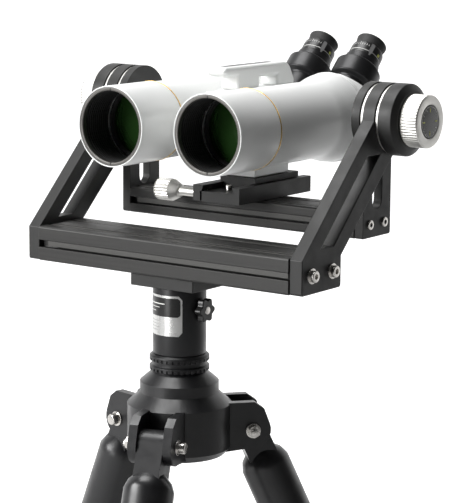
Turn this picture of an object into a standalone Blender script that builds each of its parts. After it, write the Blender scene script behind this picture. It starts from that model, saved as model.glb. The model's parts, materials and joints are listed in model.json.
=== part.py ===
"""Astronomy binoculars with 45-degree eyepieces on a U-shaped fork mount and a tubular tripod.

Metres, +Z up. The origin is on the floor, in the middle of the bounding box's base. The objectives
look along -Y, the observer stands on the +Y side, and "right" is +X.
"""
import math

import bmesh
import bpy
from mathutils import Matrix, Vector

MM = 0.001
GAP = 0.3                          # clearance left between touching pieces, in mm
BOX_MIDDLE = (-48.902, 14.441)     # middle of the bounding box, X and Y from the azimuth axis, in mm

# ---- driving dimensions, all in millimetres --------------------------------------------------
LEG_PIVOT_HEIGHT = 560.0           # leg pivots above the floor, legs retracted
ALTITUDE_ABOVE_PIVOT = 356.0       # altitude axis above the leg pivots
ALTITUDE_BEHIND = 141.0            # altitude axis behind the azimuth axis
ALT_Y = ALTITUDE_BEHIND
ALT_Z = LEG_PIVOT_HEIGHT + ALTITUDE_ABOVE_PIVOT

# Binocular
TUBE_X = 67.4                      # half the spacing of the two optical axes
TUBE_DROP = 11.3                   # optical axes below the altitude axis
HOOD_FRONT = -181.6                # along Y from the altitude axis
HOOD_REAR = -105.7
HOOD_R = 45.8
TUBE_R = 44.7
TUBE_REAR = 55.0
TUBE_WALL = 3.7
HOUSING_R = 53.0
HOUSING_REAR = 165.0
LENS_R = 38.2
EYEPIECE_X = 35.1                  # half the eye spacing at rest
EYE_BASE = (159.2, 22.5)           # Y, Z from the altitude axis: underside of the focusing ring
TURRET_PIVOT = (159.0, -6.1)       # Y, Z of a point on the turret's pivot
TURRET_R = 29.0
SLANT_T = -59.0                    # slanted seat of the turret, along the eyepiece axis
TURRET_THICK = 16.0

# U-mount
FORK_ARM_INNER = 175.6
FORK_ARM_THICK = 16.0
CRADLE_ARM_INNER = 161.0
CRADLE_ARM_THICK = 11.0
BOSS_R = 40.5
AXLE_R = 9.7
AXLE_BORE_R = 10.0
BAR_BOTTOM = -174.6                # fork crossbar, from the altitude axis
BAR_SIZE = (80.0, 40.0)
CRADLE_BAR_BOTTOM = -134.7
CRADLE_BAR_SIZE = (60.0, 30.0)
SLOT_OPEN = 8.4                    # mouth of the profiles' T-slots
SLOT_WIDE = 15.0
SLOT_LIP = 3.0
SLOT_DEEP = 8.5

# Column and tripod
SLEEVE_R = 30.3
SPINDLE_R = 19.7
PIVOT_RADIUS = 80.7                # leg pivots from the azimuth axis
LEG_TILT = 24.0                    # degrees from the vertical, spread
FIRST_LEG_AZIMUTH = 18.0           # degrees from -Y towards +X
LEG_R = 28.5
INNER_LEG_R = 23.4
FOOT_R = 24.0
KNUCKLE_HALF = 15.2
LUG_THICK = 10.0

SEGMENTS = 40                      # sides of the larger turned pieces
SMALL_SEGMENTS = 24

EYE_DIR = Vector((0.0, math.sqrt(0.5), math.sqrt(0.5)))      # eyepieces look up and back
FACE_UP = Vector((0.0, -math.sqrt(0.5), math.sqrt(0.5)))     # up the slanted seat

COLOURS = {
    "white_enamel": ((0.80, 0.81, 0.80), 0.35, 0.0),
    "black_anodised": ((0.025, 0.025, 0.026), 0.45, 0.6),
    "black_casting": ((0.012, 0.012, 0.013), 0.4, 0.0),
    "bright_aluminium": ((0.72, 0.72, 0.70), 0.35, 1.0),
    "stainless_steel": ((0.70, 0.69, 0.67), 0.25, 1.0),
    "black_rubber": ((0.02, 0.02, 0.02), 0.75, 0.0),
    "coated_glass": ((0.03, 0.10, 0.04), 0.05, 0.0),
    "black_plastic": ((0.015, 0.015, 0.015), 0.4, 0.0),
}


# ---- scene and helpers ------------------------------------------------------------------------
def clear_scene():
    for obj in list(bpy.data.objects):
        bpy.data.objects.remove(obj, do_unlink=True)


def make_collection(name):
    collection = bpy.data.collections.new(name)
    bpy.context.scene.collection.children.link(collection)
    return collection


def make_material(node, finish):
    colour, roughness, metallic = COLOURS[finish]
    material = bpy.data.materials.new(node + "_" + finish)
    material.use_nodes = True
    shader = material.node_tree.nodes["Principled BSDF"]
    shader.inputs["Base Color"].default_value = (*colour, 1.0)
    shader.inputs["Roughness"].default_value = roughness
    shader.inputs["Metallic"].default_value = metallic
    return material


def place(obj, origin, z_axis, x_axis=None):
    """Put the object at origin (mm) with its local Z along z_axis and local X near x_axis."""
    z = Vector(z_axis).normalized()
    if x_axis is None:
        x_axis = (1, 0, 0) if abs(z.x) < 0.9 else (0, 1, 0)
    x = Vector(x_axis)
    x = (x - z * x.dot(z)).normalized()
    y = z.cross(x)
    frame = Matrix((x, y, z)).transposed().to_4x4()
    obj.matrix_world = Matrix.Translation(Vector(origin) * MM) @ frame


def finish_piece(obj, finish, smooth=True):
    obj.data.materials.append(make_material(obj.name, finish))
    PARTS.objects.link(obj)
    if smooth and obj.type == "MESH":
        obj.data.shade_smooth()
    return obj


def profile_mesh(name, points, closed):
    """A profile of (radius, height) points in mm, in the local XZ plane."""
    mesh = bpy.data.meshes.new(name)
    count = len(points)
    edges = [(i, i + 1) for i in range(count - 1)]
    if closed:
        edges.append((count - 1, 0))
    mesh.from_pydata([(r * MM, 0.0, z * MM) for r, z in points], edges, [])
    return mesh


def add_screw(obj, segments):
    screw = obj.modifiers.new("turn", "SCREW")
    screw.axis = "Z"
    screw.angle = 2 * math.pi
    screw.steps = segments
    screw.render_steps = segments
    screw.use_merge_vertices = True
    screw.merge_threshold = 0.00001
    screw.use_smooth_shade = True
    return screw


def turned(name, points, origin, axis, finish, segments=SEGMENTS, closed=False):
    """A turned piece; points run down the outer side, from the top to the bottom."""
    obj = bpy.data.objects.new(name, profile_mesh(name, points, closed))
    add_screw(obj, segments)
    place(obj, origin, axis)
    return finish_piece(obj, finish)


def extruded(name, loops, origin, x_axis, z_axis, length, finish):
    """A flat outline with holes, in mm, pushed along z_axis by length, centred on origin."""
    curve = bpy.data.curves.new(name, "CURVE")
    curve.dimensions = "2D"
    curve.fill_mode = "BOTH"
    curve.extrude = length * 0.5 * MM
    for loop in loops:
        spline = curve.splines.new("POLY")
        spline.points.add(len(loop) - 1)
        for point, (x, y) in zip(spline.points, loop):
            point.co = (x * MM, y * MM, 0.0, 1.0)
        spline.use_cyclic_u = True
    obj = bpy.data.objects.new(name, curve)
    place(obj, origin, z_axis, x_axis)
    return finish_piece(obj, finish, smooth=False)


def slab_object(name, outline, half):
    """A closed mesh prism: the outline in local XY (mm), from -half to +half in local Z."""
    mesh = bpy.data.meshes.new(name)
    shape = bmesh.new()
    face = shape.faces.new([shape.verts.new((x * MM, y * MM, -half * MM)) for x, y in outline])
    grown = bmesh.ops.extrude_face_region(shape, geom=[face])
    tops = [item for item in grown["geom"] if isinstance(item, bmesh.types.BMVert)]
    bmesh.ops.translate(shape, verts=tops, vec=(0.0, 0.0, 2 * half * MM))
    bmesh.ops.recalc_face_normals(shape, faces=shape.faces)
    shape.to_mesh(mesh)
    shape.free()
    return bpy.data.objects.new(name, mesh)


def tool_object(obj):
    """Keep an object as a Boolean operand only."""
    TOOLS.objects.link(obj)
    obj.hide_render = True
    obj.display_type = "WIRE"
    return obj


def rod_tool(name, radius, length, origin, axis, segments=SMALL_SEGMENTS):
    mesh = bpy.data.meshes.new(name)
    shape = bmesh.new()
    bmesh.ops.create_cone(shape, cap_ends=True, segments=segments, radius1=radius * MM,
                          radius2=radius * MM, depth=length * MM)
    shape.to_mesh(mesh)
    shape.free()
    obj = bpy.data.objects.new(name, mesh)
    place(obj, origin, axis)
    return tool_object(obj)


def boolean(obj, tool, operation):
    modifier = obj.modifiers.new(tool.name, "BOOLEAN")
    modifier.operation = operation
    modifier.solver = "EXACT"
    modifier.object = tool


def arc(cx, cy, radius, start, end, steps):
    """Points on an arc, angles in degrees."""
    angles = [math.radians(start + (end - start) * i / steps) for i in range(steps + 1)]
    return [(cx + radius * math.cos(a), cy + radius * math.sin(a)) for a in angles]


def circle(cx, cy, radius, steps=SMALL_SEGMENTS):
    return arc(cx, cy, radius, 0.0, 360.0, steps)[:-1]


def from_axis(x, y, z):
    """A point given from the centre of the altitude axis."""
    return (x, ALT_Y + y, ALT_Z + z)


def side_name(side):
    return "right" if side > 0 else "left"


def empty_at(name, origin):
    holder = bpy.data.objects.new(name, None)
    holder.location = Vector(origin) * MM
    PARTS.objects.link(holder)
    return holder


def adopt(holder, *pieces):
    """Parent the pieces to an empty on their joint's axis without moving them."""
    shift = Matrix.Translation(holder.location).inverted()
    for piece in pieces:
        piece.parent = holder
        piece.matrix_parent_inverse = shift


# ---- tripod -----------------------------------------------------------------------------------
def leg_directions(index):
    """Outward radial and tangential unit vectors of one leg."""
    azimuth = math.radians(FIRST_LEG_AZIMUTH + 120.0 * index)
    radial = Vector((math.sin(azimuth), -math.cos(azimuth), 0.0))
    tangent = Vector((math.cos(azimuth), math.sin(azimuth), 0.0))
    return radial, tangent


def build_hub():
    base = LEG_PIVOT_HEIGHT
    profile = [(20.0, 69.0), (31.5, 69.0), (32.7, 67.5), (45.0, 57.0), (45.0, 44.5), (59.5, 31.5),
               (59.5, -19.0), (52.0, -27.0), (20.0, -27.0)]
    hub = turned("tripod_hub", profile, (0, 0, base), (0, 0, 1), "black_casting", 48, closed=True)
    lug = [(-33.0, 33.0), (2.0, 33.0), (13.0, 25.0)] + arc(0, 0, 21.0, 22, -98, 8) + [(-33.0, -24.0)]
    for index in range(3):
        radial, tangent = leg_directions(index)
        for hand in (-1, 1):
            centre = radial * PIVOT_RADIUS + tangent * hand * (KNUCKLE_HALF + GAP + LUG_THICK / 2)
            plate = slab_object("hub_lug_%d_%d" % (index + 1, hand), lug, LUG_THICK / 2)
            place(plate, (centre.x, centre.y, base), -tangent, radial)
            boolean(hub, tool_object(plate), "UNION")
    for index in range(3):
        radial, tangent = leg_directions(index)
        centre = radial * PIVOT_RADIUS
        hole = rod_tool("hub_bolt_hole_%d" % (index + 1), 5.0, 60.0, (centre.x, centre.y, base), tangent, 16)
        boolean(hub, hole, "DIFFERENCE")
    return hub


def build_leg(index):
    number = index + 1
    radial, tangent = leg_directions(index)
    pivot = radial * PIVOT_RADIUS + Vector((0, 0, LEG_PIVOT_HEIGHT))
    tilt = math.radians(LEG_TILT)
    down = radial * math.sin(tilt) - Vector((0, 0, math.cos(tilt)))
    outward = tangent.cross(down).normalized()
    if outward.dot(radial) < 0:
        outward = -outward
    foot_centre = (LEG_PIVOT_HEIGHT - FOOT_R) / math.cos(tilt)      # along the leg from the pivot
    clamp_top, clamp_end = 372.0, 430.0

    bolt_profile = [(0, 36), (6.5, 36), (6.5, 26.0), (4.6, 26.0), (4.6, -26.0), (7.0, -26.0), (7.0, -33.5),
                    (4.0, -33.5), (4.0, -37.0), (0, -37.0)]
    turned("leg_pivot_bolt_%d" % number, bolt_profile, pivot, tangent, "stainless_steel", 16)

    tube = [(0, -26.0), (12.0, -28.0), (LEG_R - 4, -40.0), (LEG_R, -50.0), (LEG_R, -clamp_top),
            (LEG_R + 5, -clamp_top - 6), (LEG_R + 5, -clamp_end), (INNER_LEG_R + 0.4, -clamp_end),
            (INNER_LEG_R + 0.4, -70.0), (0, -60.0)]
    upper = turned("leg_upper_%d" % number, tube, pivot, -down, "black_casting", 32)
    outline = arc(0, 0, 18.0, -20, 200, 10) + [(-17.0, -46.0), (17.0, -46.0)]
    knuckle = slab_object("leg_knuckle_%d" % number, outline, KNUCKLE_HALF)
    place(knuckle, pivot, tangent, tangent.cross(down))
    boolean(upper, tool_object(knuckle), "UNION")
    boolean(upper, rod_tool("leg_bolt_hole_%d" % number, 4.9, 60.0, pivot, tangent, 16), "DIFFERENCE")
    screw_at = pivot + down * 402.0
    boolean(upper, rod_tool("leg_screw_hole_%d" % number, 4.3, 20.0, screw_at + outward * 30.0, outward, 12),
            "DIFFERENCE")

    knob = [(0, 60.0), (10.0, 60.0), (17.0, 57.0), (18.0, 52.0), (18.0, 46.0), (10.0, 43.0),
            (10.0, LEG_R + 5 + GAP), (4.0, LEG_R + 5 + GAP), (4.0, INNER_LEG_R + 0.6), (0, INNER_LEG_R + 0.6)]
    turned("leg_lock_knob_%d" % number, knob, screw_at, outward, "black_plastic", 16)

    inner = [(INNER_LEG_R, -130.0), (INNER_LEG_R, -foot_centre + 14.0),
             (INNER_LEG_R - 2.4, -foot_centre + 14.0), (INNER_LEG_R - 2.4, -130.0)]
    turned("leg_lower_%d" % number, inner, pivot, -down, "bright_aluminium", 32, closed=True)

    foot_top = 12.0
    ball = arc(0, 0, FOOT_R, 10.0, -90.0, 8)
    foot = [(0, foot_top), (FOOT_R - 1.5, foot_top), (FOOT_R, foot_top - 2.0)] + ball
    foot[-1] = (0.0, -FOOT_R)
    turned("leg_foot_%d" % number, foot, pivot + down * foot_centre, -down, "black_rubber", 24)


def build_column():
    profile = [(0, 165.0), (SPINDLE_R, 165.0), (SPINDLE_R, -20.0), (0, -20.0)]
    turned("azimuth_spindle", profile, (0, 0, LEG_PIVOT_HEIGHT), (0, 0, 1), "stainless_steel", 32)
    ring = [(20.0, 89.4), (31.0, 89.4), (34.0, 86.5), (34.0, 83.0), (31.5, 81.5), (31.5, 76.5),
            (34.0, 75.0), (34.0, 70.5), (32.5, 69.3), (20.0, 69.3)]
    turned("azimuth_tension_ring", ring, (0, 0, LEG_PIVOT_HEIGHT), (0, 0, 1), "black_anodised", 40,
           closed=True)
    top = ALTITUDE_ABOVE_PIVOT - 189.6
    sleeve = turned("pier_sleeve", [(20.0, top), (SLEEVE_R, top), (SLEEVE_R, 89.7), (20.0, 89.7)],
                    (0, 0, LEG_PIVOT_HEIGHT), (0, 0, 1), "black_anodised", 40, closed=True)
    knob_z = ALT_Z - 214.0
    boolean(sleeve, rod_tool("sleeve_screw_hole", 4.3, 20.0, (25.0, 0, knob_z), (1, 0, 0), 12), "DIFFERENCE")
    lobes = 6
    outline = []
    for i in range(lobes * 6):
        angle = 2 * math.pi * i / (lobes * 6)
        radius = 12.4 + 1.9 * math.cos(lobes * angle)
        outline.append((radius * math.cos(angle), radius * math.sin(angle)))
    knob = slab_object("azimuth_lock_knob", outline, 4.0)
    place(knob, (35.6, 0, knob_z), (1, 0, 0), (0, 1, 0))
    shank = rod_tool("lock_knob_shank", 4.0, 16.0, (28.2, 0, knob_z), (1, 0, 0), 12)
    boolean(knob, shank, "UNION")
    finish_piece(knob, "black_plastic", smooth=False)


# ---- fork and cradle --------------------------------------------------------------------------
def t_slot(cx, cy, angle):
    """One T-slot cut into an edge: points from one lip to the other, for an outline drawn
    anticlockwise; angle turns the slot's mouth from -Y."""
    half, wide = SLOT_OPEN / 2, SLOT_WIDE / 2
    shape = [(-half, 0), (-half, SLOT_LIP), (-wide, SLOT_LIP), (-wide + 3, SLOT_DEEP), (wide - 3, SLOT_DEEP),
             (wide, SLOT_LIP), (half, SLOT_LIP), (half, 0)]
    c, s = math.cos(math.radians(angle)), math.sin(math.radians(angle))
    return [(cx + x * c - y * s, cy + x * s + y * c) for x, y in shape]


def bar_profile(width, height):
    """Slotted profile, anticlockwise: two slots above and below, one in front and one behind."""
    w, h, r = width / 2, height / 2, 1.5
    quarter = width / 4
    loop = [(-w + r, -h)]
    loop += t_slot(-quarter, -h, 0) + t_slot(quarter, -h, 0)
    loop += [(w - r, -h), (w, -h + r)]
    loop += t_slot(w, 0, 90)
    loop += [(w, h - r), (w - r, h)]
    loop += t_slot(quarter, h, 180) + t_slot(-quarter, h, 180)
    loop += [(-w + r, h), (-w, h - r)]
    loop += t_slot(-w, 0, 270)
    loop += [(-w, -h + r)]
    return loop


def build_fork():
    bar_centre = from_axis(0, -ALTITUDE_BEHIND, BAR_BOTTOM + BAR_SIZE[1] / 2)
    extruded("fork_crossbar", [bar_profile(*BAR_SIZE)], bar_centre, (0, 1, 0), (1, 0, 0),
             2 * (FORK_ARM_INNER - GAP), "black_anodised")
    plate = [(-43.6, -34.0), (43.6, -34.0), (43.6, 34.0), (-43.6, 34.0)]
    extruded("fork_base_plate", [plate], from_axis(0, -ALTITUDE_BEHIND, -182.1), (1, 0, 0), (0, 0, 1),
             14.0, "black_anodised")
    slope = math.radians(44.5)
    along = (math.cos(slope), math.sin(slope))
    across = (-math.sin(slope), math.cos(slope))
    half = 29.3                                     # half the width of the sloping limb
    reach = math.sqrt(BOSS_R ** 2 - half ** 2)
    start = math.degrees(math.atan2(across[1] * half - along[1] * reach, across[0] * half - along[0] * reach))
    end = math.degrees(math.atan2(-across[1] * half - along[1] * reach, -across[0] * half - along[0] * reach))
    foot_front, foot_rear = -179.3, -103.3
    knee_front, knee_rear = -136.1, -139.8
    outline = [(foot_rear, knee_rear), (foot_rear, BAR_BOTTOM + 2), (foot_rear - 2, BAR_BOTTOM),
               (foot_front + 2, BAR_BOTTOM), (foot_front, BAR_BOTTOM + 2), (foot_front, knee_front)]
    outline += arc(0, 0, BOSS_R, start, end - 360.0 if end > start else end, 30)
    window = [(-143.7, -128.0), (-118.8, -128.0), (-27.5, -37.2), (-52.5, -37.2)]
    bore = circle(0, 0, AXLE_BORE_R)
    for side in (-1, 1):
        name = side_name(side)
        middle = FORK_ARM_INNER + FORK_ARM_THICK / 2
        extruded("fork_arm_" + name, [outline, window, bore], from_axis(side * middle, 0, 0), (0, 1, 0),
                 (1, 0, 0), FORK_ARM_THICK, "black_anodised")


def build_altitude_side(side):
    """Friction washers, hub with its axle, and the tension knob, from the cradle arm outwards."""
    name = side_name(side)
    outward = (side, 0, 0)
    centre = from_axis(0, 0, 0)
    arm_outer = FORK_ARM_INNER + FORK_ARM_THICK
    for label, inner in (("inner", CRADLE_ARM_INNER + CRADLE_ARM_THICK + GAP), ("outer", arm_outer + GAP)):
        ring = [(AXLE_BORE_R, inner + 3.0), (39.0, inner + 3.0), (39.0, inner), (AXLE_BORE_R, inner)]
        turned("friction_washer_%s_%s" % (label, name), ring, centre, outward, "bright_aluminium", 48,
               closed=True)
    base = arm_outer + 3.0 + 2 * GAP
    hub = [(0, base + 33.0), (5.5, base + 33.0), (5.5, base + 20.8), (33.0, base + 20.8),
           (BOSS_R, base + 16.8), (BOSS_R, base), (AXLE_R, base), (AXLE_R, CRADLE_ARM_INNER + 1.0),
           (0, CRADLE_ARM_INNER + 1.0)]
    turned("altitude_hub_" + name, hub, centre, outward, "black_anodised", 48)
    knob_base = base + 20.8 + GAP
    knob = [(0, knob_base + 21.0), (25.0, knob_base + 21.0), (25.0, knob_base + 22.2),
            (28.4, knob_base + 22.2), (29.6, knob_base + 21.0), (29.6, knob_base), (5.9, knob_base),
            (5.9, knob_base + 13.0), (0, knob_base + 13.0)]
    knob_obj = turned("altitude_knob_" + name, knob, centre, outward, "bright_aluminium", 40)
    adopt(empty_at("altitude_knob_axis_" + name, centre), knob_obj)


def build_cradle():
    bar_centre = from_axis(0, 0, CRADLE_BAR_BOTTOM + CRADLE_BAR_SIZE[1] / 2)
    extruded("cradle_crossbar", [bar_profile(*CRADLE_BAR_SIZE)], bar_centre, (0, 1, 0), (1, 0, 0),
             2 * (CRADLE_ARM_INNER - GAP), "black_anodised")
    half = 29.0
    touch = math.degrees(math.asin(math.sqrt(BOSS_R ** 2 - half ** 2) / BOSS_R))
    outline = [(-half, CRADLE_BAR_BOTTOM + 1.5), (-half + 1.5, CRADLE_BAR_BOTTOM),
               (half - 1.5, CRADLE_BAR_BOTTOM), (half, CRADLE_BAR_BOTTOM + 1.5)]
    outline += arc(0, 0, BOSS_R, -touch, 180.0 + touch, 30)
    window = arc(0, -93.0, 10.0, 180, 360, 8) + [(10.0, -50.0), (-10.0, -50.0)]
    bore = circle(0, 0, AXLE_BORE_R)
    for side in (-1, 1):
        middle = CRADLE_ARM_INNER + CRADLE_ARM_THICK / 2
        extruded("cradle_arm_" + side_name(side), [outline, window, bore], from_axis(side * middle, 0, 0),
                 (0, 1, 0), (1, 0, 0), CRADLE_ARM_THICK, "black_anodised")


CLAMP_FRONT, CLAMP_REAR = -70.3, 76.0
CLAMP_BOTTOM, CLAMP_FLOOR, CLAMP_TOP = -104.4, -92.5, -85.5
CLAMP_SCREW = (-57.0, -97.0)       # Y, Z of the clamp screw


def build_clamp():
    length = CLAMP_REAR - CLAMP_FRONT
    middle = from_axis(0, (CLAMP_FRONT + CLAMP_REAR) / 2, 0)
    base = [(-22.5, CLAMP_BOTTOM), (31.2, CLAMP_BOTTOM), (31.2, CLAMP_TOP), (20.3, CLAMP_TOP),
            (22.4, CLAMP_FLOOR + 0.3), (22.4, CLAMP_FLOOR), (-22.5, CLAMP_FLOOR)]
    jaw = [(-34.8, CLAMP_BOTTOM + 0.3), (-24.7, CLAMP_BOTTOM + 0.3), (-24.7, CLAMP_FLOOR),
           (-22.4, CLAMP_FLOOR + 0.3), (-20.3, CLAMP_TOP), (-34.8, CLAMP_TOP)]
    for name, outline in (("dovetail_clamp_base", base), ("dovetail_clamp_jaw", jaw)):
        piece = slab_object(name, outline, length / 2)
        place(piece, middle, (0, -1, 0), (1, 0, 0))
        finish_piece(piece, "black_anodised", smooth=False)
        hole_r = 5.7 if name.endswith("jaw") else 3.3
        y, z = CLAMP_SCREW
        boolean(piece, rod_tool(name + "_screw_hole", hole_r, 60.0, from_axis(-20.0, y, z), (1, 0, 0), 16),
                "DIFFERENCE")
    knob = [(0, 94.0), (12.0, 94.0), (13.0, 93.0), (13.0, 72.0), (11.5, 70.5), (7.5, 63.0), (5.4, 61.5),
            (5.4, 34.0), (5.4, 25.5), (3.0, 24.0), (3.0, 4.0), (0, 4.0)]
    screw = turned("dovetail_clamp_knob", knob, from_axis(0, *CLAMP_SCREW), (-1, 0, 0), "bright_aluminium",
                   SMALL_SEGMENTS)
    adopt(empty_at("clamp_screw_axis", from_axis(0, *CLAMP_SCREW)), screw)
    stop = [(0, 7.0), (3.4, 7.0), (3.4, 0.3), (0, 0.3)]
    turned("dovetail_stop_screw", stop, from_axis(0, -48.0, CLAMP_FLOOR), (0, 0, 1), "stainless_steel", 16)


# ---- binocular --------------------------------------------------------------------------------
def build_saddle():
    """Dovetail plate, saddle casting between the tubes, and the carrying handle on top of it."""
    plate = [(-22.0, CLAMP_FLOOR + 0.3), (22.0, CLAMP_FLOOR + 0.3), (20.0, CLAMP_TOP + 0.1),
             (20.0, CLAMP_TOP + 0.4), (25.0, CLAMP_TOP + 0.4), (25.0, -78.4), (-25.0, -78.4),
             (-25.0, CLAMP_TOP + 0.4), (-20.0, CLAMP_TOP + 0.4), (-20.0, CLAMP_TOP + 0.1)]
    piece = slab_object("dovetail_plate", plate, 44.5)
    place(piece, from_axis(0, 14.0, 0), (0, -1, 0), (1, 0, 0))
    finish_piece(piece, "black_anodised", smooth=False)

    def web(radius, top, bottom):
        """The casting's section between two tubes of the given radius."""
        high = math.degrees(math.asin((top + TUBE_DROP) / radius))
        low = math.degrees(math.asin((bottom + TUBE_DROP) / radius))
        right = arc(TUBE_X, -TUBE_DROP, radius, 180.0 - low, 180.0 - high, 10)
        return right + [(-x, y) for x, y in reversed(right)]

    hug = TUBE_R + 0.4
    upper = slab_object("binocular_saddle", web(hug, 20.0, -42.0), 35.5)
    place(upper, from_axis(0, -12.5, 0), (0, -1, 0), (1, 0, 0))
    foot = slab_object("saddle_foot", [(-26.5, -78.0), (42.5, -78.0), (42.5, -64.0), (21.0, -60.0),
                                       (21.0, -38.0), (-26.5, -38.0)], 22.0)
    place(foot, from_axis(0, 0, 0), (1, 0, 0), (0, 1, 0))
    boolean(upper, tool_object(foot), "UNION")
    ridge = slab_object("saddle_ridge", [(-17.0, 11.0), (17.0, 11.0), (17.0, 23.6), (-17.0, 23.6)], 57.5)
    place(ridge, from_axis(0, 10.5, 0), (0, -1, 0), (1, 0, 0))
    boolean(upper, tool_object(ridge), "UNION")
    finish_piece(upper, "white_enamel", smooth=False)

    side = [(-48.0, 24.0), (-5.0, 24.0), (-5.0, 37.0), (31.0, 37.0), (31.0, 24.0), (67.0, 24.0), (66.0, 32.0),
            (58.0, 46.0), (50.0, 51.5), (-71.0, 51.5), (-77.0, 46.5), (-71.0, 40.5), (-48.0, 40.5)]
    handle = slab_object("carry_handle", side, 13.0)
    place(handle, from_axis(0, 0, 0), (1, 0, 0), (0, 1, 0))
    finish_piece(handle, "white_enamel", smooth=False)


def build_tube(side):
    name = side_name(side)
    centre = from_axis(side * TUBE_X, 0, -TUBE_DROP)
    forward = (0, -1, 0)
    step = 133.0
    hood = [(41.5, -HOOD_FRONT), (HOOD_R, -HOOD_FRONT), (HOOD_R, -HOOD_REAR), (LENS_R + GAP, -HOOD_REAR),
            (LENS_R + GAP, step), (41.5, step)]
    turned("objective_hood_" + name, hood, centre, forward, "white_enamel", 48, closed=True)
    lens = [(0, 130.5), (14.0, 130.0), (27.0, 128.3), (LENS_R, 125.5), (LENS_R, 118.0), (27.0, 117.0),
            (0, 116.0)]
    turned("objective_lens_" + name, lens, centre, forward, "coated_glass", 40)
    front = HOOD_REAR + GAP
    tube = [(TUBE_R - TUBE_WALL, -front), (TUBE_R, -front), (TUBE_R, -24.0), (TUBE_R + 1.0, -34.0),
            (TUBE_R + 4.0, -44.0), (HOUSING_R - 1.0, -TUBE_REAR), (TUBE_R - TUBE_WALL, -TUBE_REAR)]
    turned("main_tube_" + name, tube, centre, forward, "white_enamel", 48, closed=True)

    housing = [(0, HOUSING_REAR), (HOUSING_R - 5, HOUSING_REAR), (HOUSING_R - 1.5, HOUSING_REAR - 1.8),
               (HOUSING_R, HOUSING_REAR - 6), (HOUSING_R, TUBE_REAR + 2.3), (HOUSING_R - 2, TUBE_REAR + GAP),
               (32.0, TUBE_REAR + GAP), (32.0, 66.0), (24.0, 66.0), (24.0, 82.6), (0, 82.6)]
    drum = turned("prism_housing_" + name, housing, centre, (0, 1, 0), "white_enamel", 48)
    seat_y = EYE_BASE[0] + SLANT_T * EYE_DIR.y
    seat_z = EYE_BASE[1] + SLANT_T * EYE_DIR.z
    square = [(-90.0, -90.0), (90.0, -90.0), (90.0, 90.0), (-90.0, 90.0)]
    cut = slab_object("housing_slant_" + name, square, 50.0)
    middle = Vector(from_axis(side * TUBE_X, seat_y, seat_z)) + EYE_DIR * 50.0
    place(cut, middle, EYE_DIR, (1, 0, 0))
    boolean(drum, tool_object(cut), "DIFFERENCE")

    prism = [(58.0, -25.3), (82.0, -25.3), (82.0, -9.3), (70.0, 2.7), (58.0, 2.7)]
    piece = slab_object("erecting_prism_" + name, prism, 18.0)
    place(piece, from_axis(side * TUBE_X, 0, 0), (1, 0, 0), (0, 1, 0))
    finish_piece(piece, "coated_glass", smooth=False)


def build_eyepiece(side):
    """Turret on the slanted seat, focusing ring, eyepiece barrel and rubber eyecup."""
    name = side_name(side)
    eye = Vector(from_axis(side * EYEPIECE_X, *EYE_BASE))
    pivot_point = Vector(from_axis(side * TUBE_X, *TURRET_PIVOT))
    centre = eye + EYE_DIR * (SLANT_T + GAP + TURRET_THICK / 2)
    offset = pivot_point - centre
    px, py = offset.x, offset.dot(FACE_UP)
    direction = math.degrees(math.atan2(py, px))
    stadium = arc(px, py, TURRET_R, direction - 90, direction + 90, 12)
    stadium += arc(0, 0, TURRET_R, direction + 90, direction + 270, 12)
    turret = extruded("eyepiece_turret_" + name, [stadium, circle(0, 0, 15.0)], centre, (1, 0, 0), EYE_DIR,
                      TURRET_THICK, "white_enamel")
    adopt(empty_at("turret_axis_" + name, pivot_point), turret)

    foot = SLANT_T + TURRET_THICK + 2 * GAP
    ring = [(21.0, 29.3), (24.5, 29.5), (28.0, 24.0), (28.2, 21.6), (29.2, 20.8), (29.4, 1.0), (28.4, 0.0),
            (24.0, -1.0), (24.0, -7.7), (21.5, -9.5), (21.5, foot), (15.9, foot), (15.9, 24.0),
            (21.0, 24.0)]
    ring_obj = turned("focus_ring_" + name, ring, eye, EYE_DIR, "black_anodised", 40, closed=True)
    barrel = [(12.0, 54.0), (16.2, 54.0), (16.2, 48.2), (19.5, 48.0), (20.6, 46.0), (20.6, 27.6),
              (15.5, 27.4), (15.5, 0.0), (12.0, 0.0)]
    barrel_obj = turned("eyepiece_barrel_" + name, barrel, eye, EYE_DIR, "black_plastic", 32, closed=True)
    cup = [(16.0, 60.5), (19.1, 60.5), (19.3, 59.0), (17.8, 52.5), (17.8, 48.5), (16.6, 48.5), (16.6, 54.5),
           (15.0, 56.0)]
    cup_obj = turned("eyecup_" + name, cup, eye, EYE_DIR, "black_rubber", 32, closed=True)
    adopt(empty_at("eyepiece_axis_" + name, eye), ring_obj, barrel_obj, cup_obj)


def centre_on_base():
    """Move everything from the azimuth axis to the middle of the footprint."""
    shift = Matrix.Translation(Vector((-BOX_MIDDLE[0], -BOX_MIDDLE[1], 0.0)) * MM)
    bpy.context.view_layer.update()
    for obj in bpy.data.objects:
        if obj.parent is None:
            obj.matrix_world = shift @ obj.matrix_world


def build():
    build_hub()
    for index in range(3):
        build_leg(index)
    build_column()
    build_fork()
    build_cradle()
    build_clamp()
    build_saddle()
    for side in (-1, 1):
        build_altitude_side(side)
        build_tube(side)
        build_eyepiece(side)
    centre_on_base()


clear_scene()
PARTS = make_collection("astronomy_binoculars")
TOOLS = make_collection("cutting_tools")
build()
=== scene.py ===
"""Looks of the astronomy binoculars: fine surfaces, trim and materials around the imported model."""
import json
import math

import bmesh
import bpy
from mathutils import Matrix, Vector

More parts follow.
